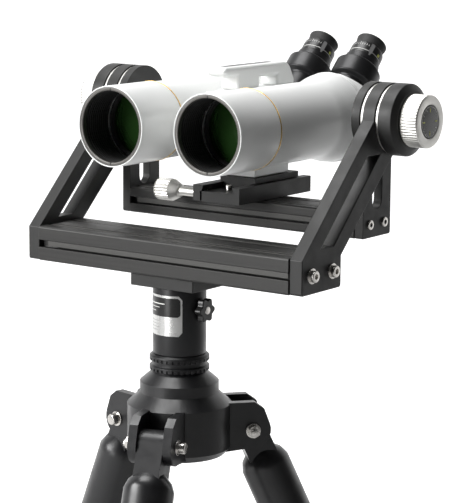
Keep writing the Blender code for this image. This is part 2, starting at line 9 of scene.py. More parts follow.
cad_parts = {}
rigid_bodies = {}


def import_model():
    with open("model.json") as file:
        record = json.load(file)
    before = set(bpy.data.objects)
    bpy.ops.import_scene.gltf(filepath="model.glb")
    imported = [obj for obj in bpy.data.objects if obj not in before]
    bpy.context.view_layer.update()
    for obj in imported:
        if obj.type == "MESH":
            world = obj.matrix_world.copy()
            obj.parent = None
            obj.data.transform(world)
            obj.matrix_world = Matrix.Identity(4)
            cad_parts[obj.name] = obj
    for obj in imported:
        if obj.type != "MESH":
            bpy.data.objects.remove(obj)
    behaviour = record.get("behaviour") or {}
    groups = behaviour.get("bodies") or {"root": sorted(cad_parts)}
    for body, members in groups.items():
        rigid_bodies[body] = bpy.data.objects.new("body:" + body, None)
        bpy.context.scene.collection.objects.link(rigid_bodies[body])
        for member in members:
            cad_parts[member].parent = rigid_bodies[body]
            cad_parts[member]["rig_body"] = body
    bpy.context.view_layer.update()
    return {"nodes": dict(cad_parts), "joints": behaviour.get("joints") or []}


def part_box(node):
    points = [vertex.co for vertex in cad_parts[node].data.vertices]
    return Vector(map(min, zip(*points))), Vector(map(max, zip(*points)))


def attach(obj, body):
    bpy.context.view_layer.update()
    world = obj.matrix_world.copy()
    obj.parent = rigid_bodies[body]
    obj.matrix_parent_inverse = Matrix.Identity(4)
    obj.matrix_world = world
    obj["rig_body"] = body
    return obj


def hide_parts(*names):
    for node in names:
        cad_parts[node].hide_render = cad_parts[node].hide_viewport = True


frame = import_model()

MM = 0.001
JOINTS = {joint["name"]: joint for joint in frame["joints"]}
AXIS = Vector(JOINTS["altitude_tilt"]["pos_m"])            # centre of the altitude axis
EYE_DIR = Vector(JOINTS["focus_turn_right"]["axis"]).normalized()
COLUMN = Vector(JOINTS["azimuth_turn"]["pos_m"])
COLUMN.z = 0.0                                             # foot of the vertical axis
SIDES = (("left", -1), ("right", 1))

SEAT_POINT = Vector((0, 117.48, -19.22))   # on the housings' slanted seat, mm from the altitude axis

# Distances in mm down the eyepiece axis from its base, where the focusing ring turns.
TURRET_TOP_DEPTH = 42.7        # upper face of the turret
COLLAR_DEPTH = 42.4            # lower end of the focusing ring's neck

TUBE_RADIUS = 44.7             # main tube ahead of its flare, mm
FLARE_START = 14.0             # where the flare begins, mm behind the altitude axis
FOOT_RADIUS = 24.0             # round end of a leg's rubber foot, mm
CRADLE_BOLT_SINK = 4.0         # how deep the cradle's bolts sit in the arms, mm
RING_SEGMENTS = 144            # facets round the large tubes
SWEEP_HEADING = 36.0           # the backdrop faces the camera, degrees


# ---- small geometry helpers -------------------------------------------------------------------
def axis_frame(origin, z_axis, x_axis=None):
    """A placing matrix with local Z along z_axis; x_axis only has to lean the right way."""
    z = Vector(z_axis).normalized()
    if x_axis is None:
        x_axis = (1, 0, 0) if abs(z.x) < 0.9 else (0, 1, 0)
    x = Vector(x_axis)
    x = (x - z * z.dot(x)).normalized()
    turn = Matrix((x, z.cross(x), z)).transposed().to_4x4()
    return Matrix.Translation(origin) @ turn


def add_piece(name, mesh, material, body, stands_for=(), sharp=35.0):
    """Link a finished mesh, shade it, and let it ride on its body."""
    obj = bpy.data.objects.new(name, mesh)
    bpy.context.scene.collection.objects.link(obj)
    obj.data.materials.clear()
    obj.data.materials.append(material)
    mesh.shade_smooth()
    mesh.set_sharp_from_angle(angle=math.radians(sharp))
    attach(obj, body)
    if stands_for:
        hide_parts(*stands_for)
    return obj


def mesh_from(shape, name):
    """Turn a finished bmesh into a mesh and free it."""
    mesh = bpy.data.meshes.new(name)
    shape.to_mesh(mesh)
    shape.free()
    return mesh


def fillet(points, closed):
    """Round the corners of a profile: a point (r, z, radius) gets a three-step arc."""
    out = []
    count = len(points)
    for i, point in enumerate(points):
        radius = point[2] if len(point) > 2 else 0.0
        here = Vector(point[:2])
        if radius <= 0 or (not closed and i in (0, count - 1)):
            out.append(tuple(here))
            continue
        before = Vector(points[i - 1][:2]) - here
        after = Vector(points[(i + 1) % count][:2]) - here
        reach = min(radius, before.length * 0.49, after.length * 0.49)
        start = here + before.normalized() * reach
        end = here + after.normalized() * reach
        for step in range(4):
            t = step / 3
            out.append(tuple(start * (1 - t) ** 2 + here * 2 * t * (1 - t) + end * t ** 2))
    return out


def lathe_mesh(name, points, place, segments=96, closed=False, relief=None):
    """Turn a profile of (radius, height[, rounding]) in mm about the local Z of place.

    relief(r, z, angle) returns the radius with knurls or flutes.
    """
    profile = fillet(points, closed)
    shape = bmesh.new()
    rings = []
    for r, z in profile:
        if r < 1e-6:
            rings.append([shape.verts.new(place @ Vector((0, 0, z * MM)))])
            continue
        ring = []
        for k in range(segments):
            angle = 2 * math.pi * k / segments
            radius = (relief(r, z, angle) if relief else r) * MM
            point = Vector((radius * math.cos(angle), radius * math.sin(angle), z * MM))
            ring.append(shape.verts.new(place @ point))
        rings.append(ring)
    pairs = list(zip(rings, rings[1:]))
    if closed:
        pairs.append((rings[-1], rings[0]))
    for upper, lower in pairs:
        for k in range(segments):
            corners = []
            for ring, index in ((upper, k), (upper, k + 1), (lower, k + 1), (lower, k)):
                vert = ring[index % len(ring)]
                if vert not in corners:
                    corners.append(vert)
            if len(corners) > 2:
                shape.faces.new(corners)
    bmesh.ops.recalc_face_normals(shape, faces=shape.faces)
    return mesh_from(shape, name)


def lathe(name, points, origin, axis, material, body, slot, stands_for=(), **options):
    """A turned piece; the options go to lathe_mesh, and sharp is the smooth-shading limit."""
    sharp = options.pop("sharp", 35.0)
    mesh = lathe_mesh(name, points, axis_frame(origin, axis), **options)
    return add_piece(name, mesh, material, body, stands_for, sharp)


def hex_radius(across_half, angle):
    """Radius of a hexagon at an angle, from half its width across flats."""
    sector = (angle + math.pi / 6) % (math.pi / 3) - math.pi / 6
    return across_half / math.cos(sector)


def ribs(count, depth, low, high, power=1.0):
    """Straight knurling between two heights: rounded ribs cut inwards by depth."""
    def relief(r, z, angle):
        if z < low or z > high:
            return r
        wave = 0.5 - 0.5 * math.cos(count * angle)
        return r - depth * wave ** power
    return relief


def block_mesh(name, outline, half, place):
    """A prism: the outline in local XY, in mm, from -half to +half in local Z."""
    shape = bmesh.new()
    face = shape.faces.new([shape.verts.new((x * MM, y * MM, -half * MM)) for x, y in outline])
    grown = bmesh.ops.extrude_face_region(shape, geom=[face])
    tops = [item for item in grown["geom"] if isinstance(item, bmesh.types.BMVert)]
    bmesh.ops.translate(shape, verts=tops, vec=(0, 0, 2 * half * MM))
    bmesh.ops.recalc_face_normals(shape, faces=shape.faces)
    bmesh.ops.transform(shape, matrix=place, verts=shape.verts)
    return mesh_from(shape, name)


def soften(obj, width, segments=2, angle=30.0):
    """Rounded edges on a flat-sided piece."""
    bevel = obj.modifiers.new("edges", "BEVEL")
    bevel.limit_method = "ANGLE"
    bevel.angle_limit = math.radians(angle)
    bevel.width = width * MM
    bevel.segments = segments
    bevel.use_clamp_overlap = True
    shade = obj.modifiers.new("shading", "WEIGHTED_NORMAL")
    shade.keep_sharp = True
    return obj


def slab(name, outline, half, place, material, body, edge=0.5, segments=2):
    """A flat piece with softened edges."""
    piece = add_piece(name, block_mesh(name, outline, half, place), material, body)
    return soften(piece, edge, segments)


def refined(node, material, edge=0.6, segments=2, angle=30.0):
    """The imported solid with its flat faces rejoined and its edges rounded."""
    source = frame["nodes"][node]
    mesh = source.data.copy()
    shape = bmesh.new()
    shape.from_mesh(mesh)
    bmesh.ops.remove_doubles(shape, verts=shape.verts, dist=0.00001)
    bmesh.ops.dissolve_limit(shape, angle_limit=math.radians(0.6), verts=shape.verts, edges=shape.edges)
    shape.to_mesh(mesh)
    shape.free()
    piece = add_piece(node + "_surface", mesh, material, source["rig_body"], (node,))
    return soften(piece, edge, segments, angle)


def arc(cx, cy, radius, start, end, steps):
    """Points on an arc; the angles are in degrees."""
    angles = [math.radians(start + (end - start) * i / steps) for i in range(steps + 1)]
    return [(cx + radius * math.cos(a), cy + radius * math.sin(a)) for a in angles]


def rounded_box(width, height, radius, steps=5):
    """Outline of a rectangle with round corners, centred on zero."""
    w, h = width / 2 - radius, height / 2 - radius
    corners = ((w, -h, -90), (w, h, 0), (-w, h, 90), (-w, -h, 180))
    return [p for x, y, a in corners for p in arc(x, y, radius, a, a + 90, steps)]


# ---- materials --------------------------------------------------------------------------------
class Surface:
    """A Principled material with a few procedural layers."""

    def __init__(self, name, colour, roughness, metallic=0.0, coat=0.0):
        self.material = bpy.data.materials.new(name)
        self.material.use_nodes = True
        self.tree = self.material.node_tree
        self.shader = self.tree.nodes["Principled BSDF"]
        self.shader.inputs["Base Color"].default_value = (*colour, 1)
        self.shader.inputs["Roughness"].default_value = roughness
        self.shader.inputs["Metallic"].default_value = metallic
        self.shader.inputs["Coat Weight"].default_value = coat
        self.shader.inputs["Coat Roughness"].default_value = 0.15
        self.colour = colour
        self.coordinates = self.tree.nodes.new("ShaderNodeTexCoord")

    def noise(self, scale, detail, stretch):
        """A noise value in object coordinates; stretch lengthens the grain along an axis."""
        mapping = self.tree.nodes.new("ShaderNodeMapping")
        mapping.inputs["Scale"].default_value = stretch
        texture = self.tree.nodes.new("ShaderNodeTexNoise")
        texture.inputs["Scale"].default_value = scale
        texture.inputs["Detail"].default_value = detail
        texture.inputs["Roughness"].default_value = 0.55
        self.tree.links.new(self.coordinates.outputs["Object"], mapping.inputs["Vector"])
        self.tree.links.new(mapping.outputs["Vector"], texture.inputs["Vector"])
        return texture.outputs["Fac"]

    def ramp(self, value, low, high):
        """Spread the middle of the noise between two colours."""
        ramp = self.tree.nodes.new("ShaderNodeValToRGB")
        ramp.color_ramp.elements[0].position = 0.3
        ramp.color_ramp.elements[1].position = 0.7
        ramp.color_ramp.elements[0].color = (*low, 1)
        ramp.color_ramp.elements[1].color = (*high, 1)
        self.tree.links.new(value, ramp.inputs["Fac"])
        return ramp.outputs["Color"]

    def mottle(self, scale, amount, stretch=(1, 1, 1)):
        """Slight colour variation around the base colour."""
        low = tuple(c * (1 - amount) for c in self.colour)
        high = tuple(min(1.0, c * (1 + amount)) for c in self.colour)
        self.tree.links.new(self.ramp(self.noise(scale, 4.0, stretch), low, high),
                            self.shader.inputs["Base Color"])
        return self

    def gloss(self, scale, low, high, stretch=(1, 1, 1)):
        """Roughness that drifts between two values."""
        value = self.ramp(self.noise(scale, 4.0, stretch), (low,) * 3, (high,) * 3)
        self.tree.links.new(value, self.shader.inputs["Roughness"])
        return self

    def bump(self, scale, strength, distance, stretch=(1, 1, 1)):
        """Fine surface grain; distance is its height in metres."""
        node = self.tree.nodes.new("ShaderNodeBump")
        node.inputs["Strength"].default_value = strength
        node.inputs["Distance"].default_value = distance
        self.tree.links.new(self.noise(scale, 3.0, stretch), node.inputs["Height"])
        self.tree.links.new(node.outputs["Normal"], self.shader.inputs["Normal"])
        return self


def make_materials():
    """Every finish on the model, by short name. Noise scales are per metre."""
    made = {}

    def keep(key, surface):
        made[key] = surface.material

    keep("enamel", Surface("white_enamel", (0.80, 0.81, 0.80), 0.34, coat=0.25)
         .mottle(9.0, 0.015).gloss(30.0, 0.30, 0.40).bump(900.0, 0.10, 0.00006))
    keep("anodised", Surface("black_anodised", (0.017, 0.017, 0.0165), 0.52, 0.18)
         .mottle(14.0, 0.10).gloss(60.0, 0.44, 0.56).bump(2600.0, 0.22, 0.00005))
    keep("rail", Surface("extruded_rail", (0.022, 0.0215, 0.0205), 0.50, 0.25)
         .mottle(10.0, 0.14, (0.5, 30, 30)).gloss(24.0, 0.40, 0.54, (0.4, 30, 30))
         .bump(420.0, 0.25, 0.00004, stretch=(0.02, 1, 1)))
    keep("strip", Surface("slot_strip", (0.050, 0.049, 0.046), 0.5, 0.1)
         .mottle(20.0, 0.10, (0.4, 10, 10)).bump(1800.0, 0.12, 0.00004))
    keep("cover", Surface("rail_cover", (0.032, 0.0315, 0.030), 0.5, 0.2)
         .mottle(18.0, 0.10, (0.4, 10, 10)).bump(1800.0, 0.12, 0.00004))
    keep("turned_black", Surface("turned_black", (0.016, 0.016, 0.017), 0.36, 0.35)
         .mottle(30.0, 0.12).gloss(40.0, 0.30, 0.42).bump(1600.0, 0.12, 0.00004))
    keep("casting", Surface("painted_casting", (0.008, 0.008, 0.009), 0.36, coat=0.12)
         .mottle(22.0, 0.25).gloss(50.0, 0.30, 0.46).bump(520.0, 0.35, 0.00012))
    keep("aluminium", Surface("bright_aluminium", (0.72, 0.71, 0.68), 0.44, 1.0)
         .mottle(40.0, 0.06).gloss(90.0, 0.38, 0.50).bump(1500.0, 0.18, 0.00005))
    keep("steel", Surface("stainless_steel", (0.66, 0.64, 0.61), 0.24, 1.0)
         .mottle(60.0, 0.08).gloss(120.0, 0.18, 0.34).bump(2000.0, 0.12, 0.00004))
    keep("gold", Surface("gold_trim", (0.80, 0.52, 0.13), 0.30, 1.0)
         .mottle(60.0, 0.06).gloss(80.0, 0.20, 0.32))
    keep("rim", Surface("dark_nickel", (0.11, 0.106, 0.10), 0.46, 0.7)
         .mottle(50.0, 0.10).gloss(70.0, 0.32, 0.46).bump(1800.0, 0.15, 0.00004))
    keep("baffle", Surface("flat_black", (0.011, 0.011, 0.011), 0.75)
         .mottle(40.0, 0.2).bump(1500.0, 0.3, 0.00005))
    keep("rubber", Surface("soft_rubber", (0.018, 0.018, 0.018), 0.68)
         .mottle(40.0, 0.18).gloss(60.0, 0.60, 0.76).bump(1900.0, 0.3, 0.00006))
    keep("plastic", Surface("moulded_plastic", (0.013, 0.013, 0.013), 0.34)
         .mottle(30.0, 0.2).gloss(60.0, 0.28, 0.40).bump(1400.0, 0.15, 0.00004))
    keep("paint_mark", Surface("white_marking", (0.62, 0.62, 0.60), 0.5).mottle(80.0, 0.06))
    keep("grey_mark", Surface("grey_marking", (0.20, 0.20, 0.20), 0.45).mottle(80.0, 0.08))
    keep("accent", Surface("accent_marking", (0.55, 0.58, 0.10), 0.4).mottle(80.0, 0.05))
    keep("label", Surface("label_foil", (0.60, 0.60, 0.59), 0.28, 0.75)
         .mottle(30.0, 0.05).gloss(50.0, 0.22, 0.34))
    keep("label_black", Surface("label_print", (0.008, 0.008, 0.008), 0.22).mottle(30.0, 0.15))
    keep("glass", coated_glass())
    return made


def coated_glass():
    """Multi-coated glass: dark green with a green-tinted reflection."""
    glass = Surface("coated_glass", (0.020, 0.044, 0.015), 0.10, 0.0, coat=0.6)
    glass.shader.inputs["Coat Roughness"].default_value = 0.03
    glass.shader.inputs["Coat Tint"].default_value = (0.60, 0.95, 0.50, 1)
    glass.shader.inputs["IOR"].default_value = 1.52
    glass.shader.inputs["Specular Tint"].default_value = (0.60, 0.95, 0.50, 1)
    return glass.mottle(6.0, 0.25)


MATERIAL = make_materials()


# ---- binocular --------------------------------------------------------------------------------
def tube_centre(side):
    """Where the tube's own axis passes the altitude axis."""
    low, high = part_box("objective_hood_" + side)
    middle = (low + high) / 2
    return Vector((middle.x, AXIS.y, middle.z))


def build_hood(side):
    """Front barrel: white shell, spanner ring, ribbed baffle, lens cell and the gold ring."""
    centre, forward = tube_centre(side), (0, -1, 0)
    body = "binocular"
    low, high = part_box("objective_hood_" + side)
    radius = (high.x - low.x) / 2 / MM
    front = (AXIS.y - low.y) / MM
    rear = (AXIS.y - high.y) / MM
    shell = [(radius, front, 0.8), (radius, rear, 0.5), (radius - 2.0, rear), (radius - 2.0, front - 8.0),
             (radius - 1.5, front - 7.0), (radius - 1.5, front, 0.5)]
    lathe("hood_shell_" + side, shell, centre, forward, MATERIAL["enamel"], body, "white_enamel",
          ("objective_hood_" + side,), segments=RING_SEGMENTS, closed=True)
    bore = radius - 5.8
    ring = [(bore, front - 1.5, 0.6), (bore + 0.8, front - 0.5, 0.4), (radius - 1.8, front - 0.5, 0.3),
            (radius - 1.8, front - 6.5), (bore + 0.4, front - 6.5)]
    lathe("spanner_ring_" + side, ring, centre, forward, MATERIAL["rim"], body, "black_anodised",
          segments=RING_SEGMENTS, closed=True)
    # Spanner notches are not cut into the ring: small flat black slabs on its face paint the shade inside
    # them.
    for tag, turn in (("top", 1), ("bottom", -1)):
        place = axis_frame(centre + Vector((0, -(front - 0.9) * MM, turn * (bore + 1.6) * MM)), forward)
        slab("spanner_notch_%s_%s" % (tag, side), rounded_box(1.6, 3.0, 0.5, 2), 0.55, place,
             MATERIAL["baffle"], body, edge=0.1, segments=1)
    groove_count, groove_pitch = 11, 3.6
    depth = []
    for i in range(groove_count):
        z = front - 7.0 - i * groove_pitch
        depth += [(bore + 0.3, z), (bore + 0.3, z - 1.6), (bore + 0.7, z - 2.0), (bore + 0.7, z - 3.2)]
    wall = depth + [(bore + 1.6, depth[-1][1]), (bore + 1.6, front - 7.0)]
    lathe("hood_baffle_" + side, wall, centre, forward, MATERIAL["baffle"], body, "black_anodised",
          segments=96, closed=True, sharp=25.0)
    lens_low, lens_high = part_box("objective_lens_" + side)
    lens_r = (lens_high.x - lens_low.x) / 2 / MM
    lens_front = (AXIS.y - lens_low.y) / MM
    lens_rear = (AXIS.y - lens_high.y) / MM
    cell = [(lens_r - 1.6, lens_front - 1.6, 0.4), (lens_r + 0.6, lens_front + 1.2, 0.4),
            (bore + 0.9, lens_front + 1.2), (bore + 0.9, rear), (lens_r + 0.25, rear),
            (lens_r + 0.25, lens_front - 2.4)]
    lathe("lens_cell_" + side, cell, centre, forward, MATERIAL["baffle"], body, "black_anodised",
          segments=96, closed=True)
    bulge, steps = 4.6, 12
    shares = [i / steps for i in range(steps + 1)]
    curve = [(lens_r * t, lens_front - bulge * t * t) for t in shares]
    back = [(lens_r, lens_rear + 2.0), (lens_r * 0.6, lens_rear + 0.6), (0, lens_rear)]
    lathe("objective_glass_" + side, curve + back, centre, forward, MATERIAL["glass"], body,
          "coated_glass", ("objective_lens_" + side,), segments=96)
    ring_at = rear + 0.2
    gold = [(radius + 0.25, ring_at + 1.0, 0.2), (radius + 0.25, ring_at - 0.8, 0.2),
            (radius - 2.2, ring_at - 0.8), (radius - 2.2, ring_at + 1.0)]
    lathe("gold_ring_" + side, gold, centre, forward, MATERIAL["gold"], body, "bright_aluminium",
          segments=RING_SEGMENTS, closed=True)


def build_main_tube(side):
    """Main tube with a smooth flare up to the prism housing."""
    centre, forward = tube_centre(side), (0, -1, 0)
    low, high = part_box("main_tube_" + side)
    front = (AXIS.y - low.y) / MM
    rear = (AXIS.y - high.y) / MM
    flare = (high.x - low.x) / 2 / MM
    radius = TUBE_RADIUS
    outside = [(radius, front, 0.4), (radius, -FLARE_START)]
    steps = 12
    for i in range(1, steps + 1):
        t = i / steps
        ease = t * t * (3 - 2 * t)
        outside.append((radius + (flare - radius) * ease, -FLARE_START + (rear + 1.0 + FLARE_START) * t))
    wall = outside + [(flare, rear, 0.5), (flare - 4.0, rear), (radius - 3.0, -FLARE_START),
                      (radius - 3.0, front)]
    lathe("tube_shell_" + side, wall, centre, forward, MATERIAL["enamel"], "binocular", "white_enamel",
          ("main_tube_" + side,), segments=RING_SEGMENTS, closed=True, sharp=40.0)


def build_housing(side):
    """Prism housing: a drum with a slanted seat for the turret."""
    centre = tube_centre(side)
    low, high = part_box("prism_housing_" + side)
    radius = (high.x - low.x) / 2 / MM
    front = (low.y - AXIS.y) / MM
    rear = (high.y - AXIS.y) / MM
    drum = [(0, rear), (radius - 6.0, rear, 3.0), (radius - 1.0, rear - 3.0, 3.0), (radius, rear - 10.0, 2.0),
            (radius, front + 3.4, 0.8), (radius - 0.9, front + 2.8, 0.3), (radius - 0.9, front + 1.6, 0.3),
            (radius - 0.3, front + 1.2, 0.3), (radius - 0.8, front, 0.5), (0, front)]
    mesh = lathe_mesh("prism_cover_" + side, drum, axis_frame(centre, (0, 1, 0)),
                      segments=RING_SEGMENTS)
    seat = AXIS + SEAT_POINT * MM
    shape = bmesh.new()
    shape.from_mesh(mesh)
    everything = list(shape.verts) + list(shape.edges) + list(shape.faces)
    cut = bmesh.ops.bisect_plane(shape, geom=everything, plane_co=seat, plane_no=EYE_DIR, clear_outer=True)
    rim = [item for item in cut["geom_cut"] if isinstance(item, bmesh.types.BMEdge)]
    bmesh.ops.contextual_create(shape, geom=rim)
    bmesh.ops.recalc_face_normals(shape, faces=shape.faces)
    shape.to_mesh(mesh)
    shape.free()
    cover = add_piece("prism_cover_" + side, mesh, MATERIAL["enamel"], "binocular",
                      ("prism_housing_" + side, "erecting_prism_" + side))
    soften(cover, 2.2, 4, 38.0)


def build_turret(side):
    """Rounded turret that carries the eyepiece, with three countersunk screws."""
    body = "turret_" + side
    eye = Vector(JOINTS["focus_turn_" + side]["pos_m"])
    pivot = Vector(JOINTS["eye_spacing_" + side]["pos_m"])
    refined("eyepiece_turret_" + side, MATERIAL["enamel"], edge=2.2, segments=4, angle=50.0)
    flat = pivot - eye
    flat -= EYE_DIR * flat.dot(EYE_DIR)
    base = eye - EYE_DIR * TURRET_TOP_DEPTH * MM
    screw = [(0, -0.4), (1.6, -0.4), (2.0, 0.3, 0.2), (3.4, 0.5, 0.3), (3.4, -1.5), (0, -1.5)]
    for index, (along, across) in enumerate(((0.82, 17.0), (0.82, -17.0), (1.35, 0.0))):
        aside = EYE_DIR.cross(flat).normalized() * across * MM
        lathe("turret_screw_%d_%s" % (index + 1, side), screw, base + flat * along + aside, EYE_DIR,
              MATERIAL["steel"], body, "stainless_steel", segments=24)


def build_eyepiece(side):
    """Knurled focusing ring, eyepiece barrel with its index marks, and the rolled rubber eyecup."""
    eye = Vector(JOINTS["focus_turn_" + side]["pos_m"])
    body = "focus_" + side
    foot = -COLLAR_DEPTH
    ring = [(21.0, 29.3), (21.9, 29.3, 0.2), (21.9, 21.8, 0.4), (24.2, 21.2, 0.6), (27.0, 18.8, 0.8),
            (27.1, 17.9, 0.3), (28.2, 17.4, 0.4), (28.7, 16.9), (28.9, -2.6), (28.9, -3.0),
            (28.4, -4.4, 0.5), (27.4, -5.2, 0.5), (22.4, -6.6, 0.6), (21.3, -8.6, 0.5), (21.3, foot, 0.3),
            (15.9, foot), (15.9, 24.0), (21.0, 24.0)]
    lathe("focus_grip_" + side, ring, eye, EYE_DIR, MATERIAL["turned_black"], body, "black_anodised",
          ("focus_ring_" + side,), segments=384, closed=True, relief=ribs(96, 0.45, -2.4, 16.6))
    band = [(21.6, -26.0, 0.2), (21.6, -27.2, 0.2), (20.6, -27.2), (20.6, -26.0)]
    lathe("focus_collar_" + side, band, eye, EYE_DIR, MATERIAL["rim"], body, "black_anodised",
          segments=96, closed=True)

    body = "eyepiece_" + side
    barrel = [(12.0, 54.0), (16.2, 54.0, 0.3), (16.2, 48.4, 0.2), (18.6, 48.2, 0.6), (19.6, 47.4, 0.4),
              (19.8, 45.9, 0.2), (20.3, 45.6, 0.2), (20.4, 36.2, 0.2), (20.0, 35.9), (20.0, 35.1),
              (20.5, 34.8, 0.2), (20.5, 31.0, 0.4), (19.8, 29.8, 0.4), (19.8, 27.5), (15.4, 27.4),
              (15.4, 0.0), (12.0, 0.0)]
    lathe("eyepiece_body_" + side, barrel, eye, EYE_DIR, MATERIAL["plastic"], body, "black_plastic",
          ("eyepiece_barrel_" + side,), segments=128, closed=True)
    line = [(20.15, 35.9), (20.15, 35.1), (19.6, 35.1), (19.6, 35.9)]
    lathe("barrel_line_" + side, line, eye, EYE_DIR, MATERIAL["paint_mark"], body, "bright_aluminium",
          segments=128, closed=True)
    glass = [(0, 50.5), (6.0, 50.1), (11.9, 48.5), (11.9, 45.0), (0, 45.0)]
    lathe("eye_lens_" + side, glass, eye, EYE_DIR, MATERIAL["glass"], body, "coated_glass", segments=64)
    build_index_marks(side, eye, body)

    body = "eyecup_" + side
    cup = [(15.6, 60.4, 0.4), (18.3, 60.5, 0.7), (19.2, 59.9, 0.5), (19.1, 58.6, 0.6), (18.5, 56.2, 1.0),
           (18.0, 53.0), (17.7, 51.6, 0.3), (17.9, 50.9, 0.3), (17.8, 48.7, 0.4), (16.6, 48.6),
           (16.6, 54.4, 0.3), (14.6, 55.6, 0.8)]
    lathe("eyecup_roll_" + side, cup, eye, EYE_DIR, MATERIAL["rubber"], body, "black_rubber",
          ("eyecup_" + side,), segments=96, closed=True, sharp=60.0)


def build_index_marks(side, eye, body):
    """A row of setting ticks round the barrel and one grey index strip with a pointed foot."""
    across = Vector((1, 0, 0))
    front = across.cross(EYE_DIR).normalized()
    if front.y > 0:
        front = -front

    def tick(name, angle, low, high, half_width, material, radius):
        """A small raised mark on the barrel, between two heights up the eyepiece axis."""
        outward = front * math.cos(angle) + across * math.sin(angle)
        middle = eye + EYE_DIR * (low + high) / 2 * MM + outward * radius * MM
        place = axis_frame(middle, outward, EYE_DIR)
        piece = block_mesh(name, rounded_box(high - low, 2 * half_width, half_width * 0.6, 2), 0.12, place)
        add_piece(name, piece, material, body)

    for index in range(15):
        angle = math.radians(-78.0 + index * 8.0)
        height = 3.6 if index % 5 == 0 else 2.2
        tick("setting_tick_%02d_%s" % (index + 1, side), angle, 41.6, 41.6 + height, 0.28,
             MATERIAL["paint_mark"], 20.36)
    strip_angle = math.radians(48.0)
    tick("index_strip_" + side, strip_angle, 33.0, 47.0, 2.4, MATERIAL["grey_mark"], 20.42)
    tick("index_foot_" + side, strip_angle, 30.4, 33.4, 1.1, MATERIAL["grey_mark"], 20.40)
    tick("accent_dot_" + side, math.radians(82.0), 36.4, 40.2, 1.7, MATERIAL["accent"], 20.38)


def build_saddle():
    """Saddle, carrying handle with its strip and a flat black stripe of painted shade for the strip's groove,
    and the dovetail plate.
    """
    body = "binocular"
    refined("binocular_saddle", MATERIAL["enamel"], edge=1.4, segments=3, angle=40.0)
    refined("carry_handle", MATERIAL["enamel"], edge=4.5, segments=5, angle=25.0)
    refined("dovetail_plate", MATERIAL["anodised"], edge=0.5)
    low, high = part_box("carry_handle")
    middle = Vector((AXIS.x, (low.y + high.y) / 2 - 0.010, high.z))
    length = (high.y - low.y) / MM * 0.66
    slab("finder_strip", rounded_box(7.0, length, 3.4), 0.35, axis_frame(middle, (0, 0, 1)),
         MATERIAL["grey_mark"], body, edge=0.15, segments=1)
    # The strip's groove is not cut: a flat black stripe laid on the strip paints the shade inside it.
    slab("finder_groove_painted_shade", rounded_box(2.2, length - 8, 1.0), 0.3,
         axis_frame(middle + Vector((0, 0, 0.0002)), (0, 0, 1)), MATERIAL["baffle"], body,
         edge=0.1, segments=1)


# ---- fork, cradle and clamp -------------------------------------------------------------------
def socket_bolt(name, at, outward, body, head=6.5, washer=8.6):
    """A socket-head bolt on a plain washer; head and washer are radii in mm."""
    washer_ring = [(3.0, 1.4), (washer, 1.4, 0.3), (washer, 0.05), (3.0, 0.05)]
    lathe(name + "_washer", washer_ring, at, outward, MATERIAL["steel"], body, "stainless_steel",
          segments=48, closed=True)
    socket = head * 0.52
    profile = [(0, 3.6), (socket, 3.6), (socket, 6.4), (head - 0.4, 6.4, 0.5), (head, 5.6, 0.3),
               (head, 1.5), (0, 1.5)]

    def hexagon(r, z, angle):
        if r > socket + 0.1 or r < 0.1:
            return r
        return hex_radius(socket * 0.88, angle)

    lathe(name + "_head", profile, at, outward, MATERIAL["steel"], body, "stainless_steel", segments=48,
          relief=hexagon)


def slot_cover(name, centre, outward, half_length, body, width, sunk):
    """Plastic strip pressed into a rail's T-slot, just under its surface."""
    place = axis_frame(centre - Vector(outward) * sunk * MM, outward, (1, 0, 0))
    slab(name, rounded_box(2 * half_length, width, 0.5, 2), 0.6, place, MATERIAL["strip"], body,
         edge=0.2, segments=1)


def build_rails():
    """Slotted rails; their strips leave the left end and a thin line of each slot open."""
    refined("fork_crossbar", MATERIAL["rail"], edge=0.7)
    refined("cradle_crossbar", MATERIAL["rail"], edge=0.7)
    refined("fork_base_plate", MATERIAL["anodised"], edge=0.8)
    for node, body, open_end in (("fork_crossbar", "fork", 14.0), ("cradle_crossbar", "cradle", 11.0)):
        low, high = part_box(node)
        middle = (low + high) / 2
        half = (high.x - low.x) / 2 / MM
        quarter = (high.y - low.y) / 4
        for tag, y, face in (("front", low.y, -1), ("rear", high.y, 1)):
            centre = Vector((middle.x + open_end / 2 * MM, y, middle.z + 1.2 * MM))
            slot_cover("%s_%s_strip" % (node, tag), centre, (0, face, 0), half - open_end / 2 - 0.5, body,
                       5.8, 0.7)
        for tag, y in (("front", middle.y - quarter), ("rear", middle.y + quarter)):
            centre = Vector((middle.x, y + 1.4 * MM, high.z))
            slot_cover("%s_top_strip_%s" % (node, tag), centre, (0, 0, 1), half - 2.0, body, 5.4, 0.6)
    build_cover_strip()


def build_cover_strip():
    """The flat cover behind the front top slot of the fork rail, in four lengths."""
    low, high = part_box("fork_crossbar")
    count, gap = 4, 0.5
    left, right = low.x / MM + 8.0, high.x / MM - 3.0
    length = (right - left) / count
    for index in range(count):
        middle = Vector((left + length * (index + 0.5), low.y / MM + 31.0, high.z / MM + 0.45)) * MM
        slab("rail_cover_%d" % (index + 1), rounded_box(length - gap, 16.0, 0.6, 2), 0.4,
             axis_frame(middle, (0, 0, 1), (1, 0, 0)), MATERIAL["cover"], "fork", edge=0.3)


def build_arms():
    """Slotted arms of the fork and the cradle, each bolted to its rail's end by two bolts."""
    for side, sign in SIDES:
        outward = Vector((sign, 0, 0))
        for node, spacing, body in (("fork_arm_", 20.0, "fork"), ("cradle_arm_", 15.0, "cradle")):
            refined(node + side, MATERIAL["anodised"], edge=0.9, segments=3)
            low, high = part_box(node + side)
            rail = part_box("fork_crossbar" if body == "fork" else "cradle_crossbar")
            face = high.x if sign > 0 else low.x
            middle = (rail[0] + rail[1]) / 2
            for index, shift in ((1, -spacing), (2, spacing)):
                at = Vector((face, middle.y + shift * MM, middle.z))
                name = "%sbolt_%d_%s" % (node, index, side)
                if body == "cradle":
                    socket_bolt(name, at - outward * CRADLE_BOLT_SINK * MM, outward, body, 5.6, 7.0)
                else:
                    socket_bolt(name, at, outward, body)


